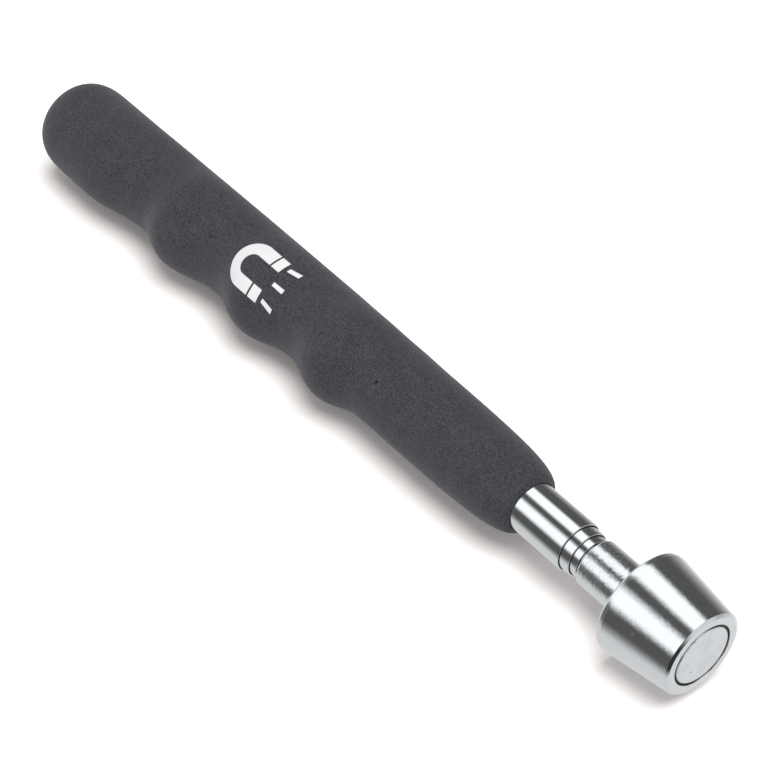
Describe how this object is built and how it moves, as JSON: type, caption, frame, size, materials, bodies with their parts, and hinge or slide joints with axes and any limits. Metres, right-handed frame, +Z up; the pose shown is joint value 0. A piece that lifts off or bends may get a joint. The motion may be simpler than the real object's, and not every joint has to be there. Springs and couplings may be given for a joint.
{
  "type": "telescoping magnetic pickup tool",
  "caption": "Hand tool with a magnet in a tapered metal head on a nested telescopic tube that pulls out of a foam grip with finger hollows.",
  "frame": {"origin": "on the surface the closed tool lies on, below the tool's axis and halfway along it", "axes": "+X along the axis from the grip's closed end to the magnet; +Z up from the surface it lies on; the finger hollows face -Y"},
  "size_m": [0.2014, 0.0235, 0.0222],
  "materials": {
    "grip_foam": "matt closed-cell foam",
    "tube_chrome": "bright nickel-chrome plate",
    "cap_steel": "bright plate over turned steel",
    "neck_steel": "bright plate over turned steel",
    "screw_steel": "zinc plate",
    "plate_steel": "ground",
    "ring_brass": "darkened",
    "magnet_nickel": "satin nickel plate",
    "shim_brass": "rolled strip",
    "plug_plastic": "moulded"
  },
  "bodies": {
    "handle": {"grip": "grip_foam", "outer_tube": "tube_chrome", "end_plug": "plug_plastic"},
    "second_shims": {"second_tube_upper_shim": "shim_brass", "second_tube_lower_shim": "shim_brass"},
    "second_stage": {"second_tube": "tube_chrome"},
    "third_shims": {"third_tube_upper_shim": "shim_brass", "third_tube_lower_shim": "shim_brass"},
    "third_stage": {"third_tube": "tube_chrome"},
    "fourth_shims": {"fourth_tube_upper_shim": "shim_brass", "fourth_tube_lower_shim": "shim_brass"},
    "fourth_stage": {"fourth_tube": "tube_chrome"},
    "fifth_shims": {"fifth_tube_upper_shim": "shim_brass", "fifth_tube_lower_shim": "shim_brass"},
    "fifth_stage": {"fifth_tube": "tube_chrome", "neck": "neck_steel", "head_cap": "cap_steel", "head_screw": "screw_steel", "back_plate": "plate_steel", "spacer_ring": "ring_brass", "magnet": "magnet_nickel"}
  },
  "joints": [
    {"name": "second_stage_slide", "type": "slide", "parent": "handle", "child": "second_shims", "axis": [1, 0, 0], "range_m": [0, 0.138]},
    {"name": "second_stage_turn", "type": "hinge", "parent": "second_shims", "child": "second_stage", "pos_m": [0, 0, 0.0111], "axis": [1, 0, 0], "continuous": true},
    {"name": "third_stage_slide", "type": "slide", "parent": "second_stage", "child": "third_shims", "axis": [1, 0, 0], "range_m": [0, 0.138]},
    {"name": "third_stage_turn", "type": "hinge", "parent": "third_shims", "child": "third_stage", "pos_m": [0, 0, 0.0111], "axis": [1, 0, 0], "continuous": true},
    {"name": "fourth_stage_slide", "type": "slide", "parent": "third_stage", "child": "fourth_shims", "axis": [1, 0, 0], "range_m": [0, 0.138]},
    {"name": "fourth_stage_turn", "type": "hinge", "parent": "fourth_shims", "child": "fourth_stage", "pos_m": [0, 0, 0.0111], "axis": [1, 0, 0], "continuous": true},
    {"name": "fifth_stage_slide", "type": "slide", "parent": "fourth_stage", "child": "fifth_shims", "axis": [1, 0, 0], "range_m": [0, 0.138]},
    {"name": "fifth_stage_turn", "type": "hinge", "parent": "fifth_shims", "child": "fifth_stage", "pos_m": [0, 0, 0.0111], "axis": [1, 0, 0], "continuous": true}
  ]
}
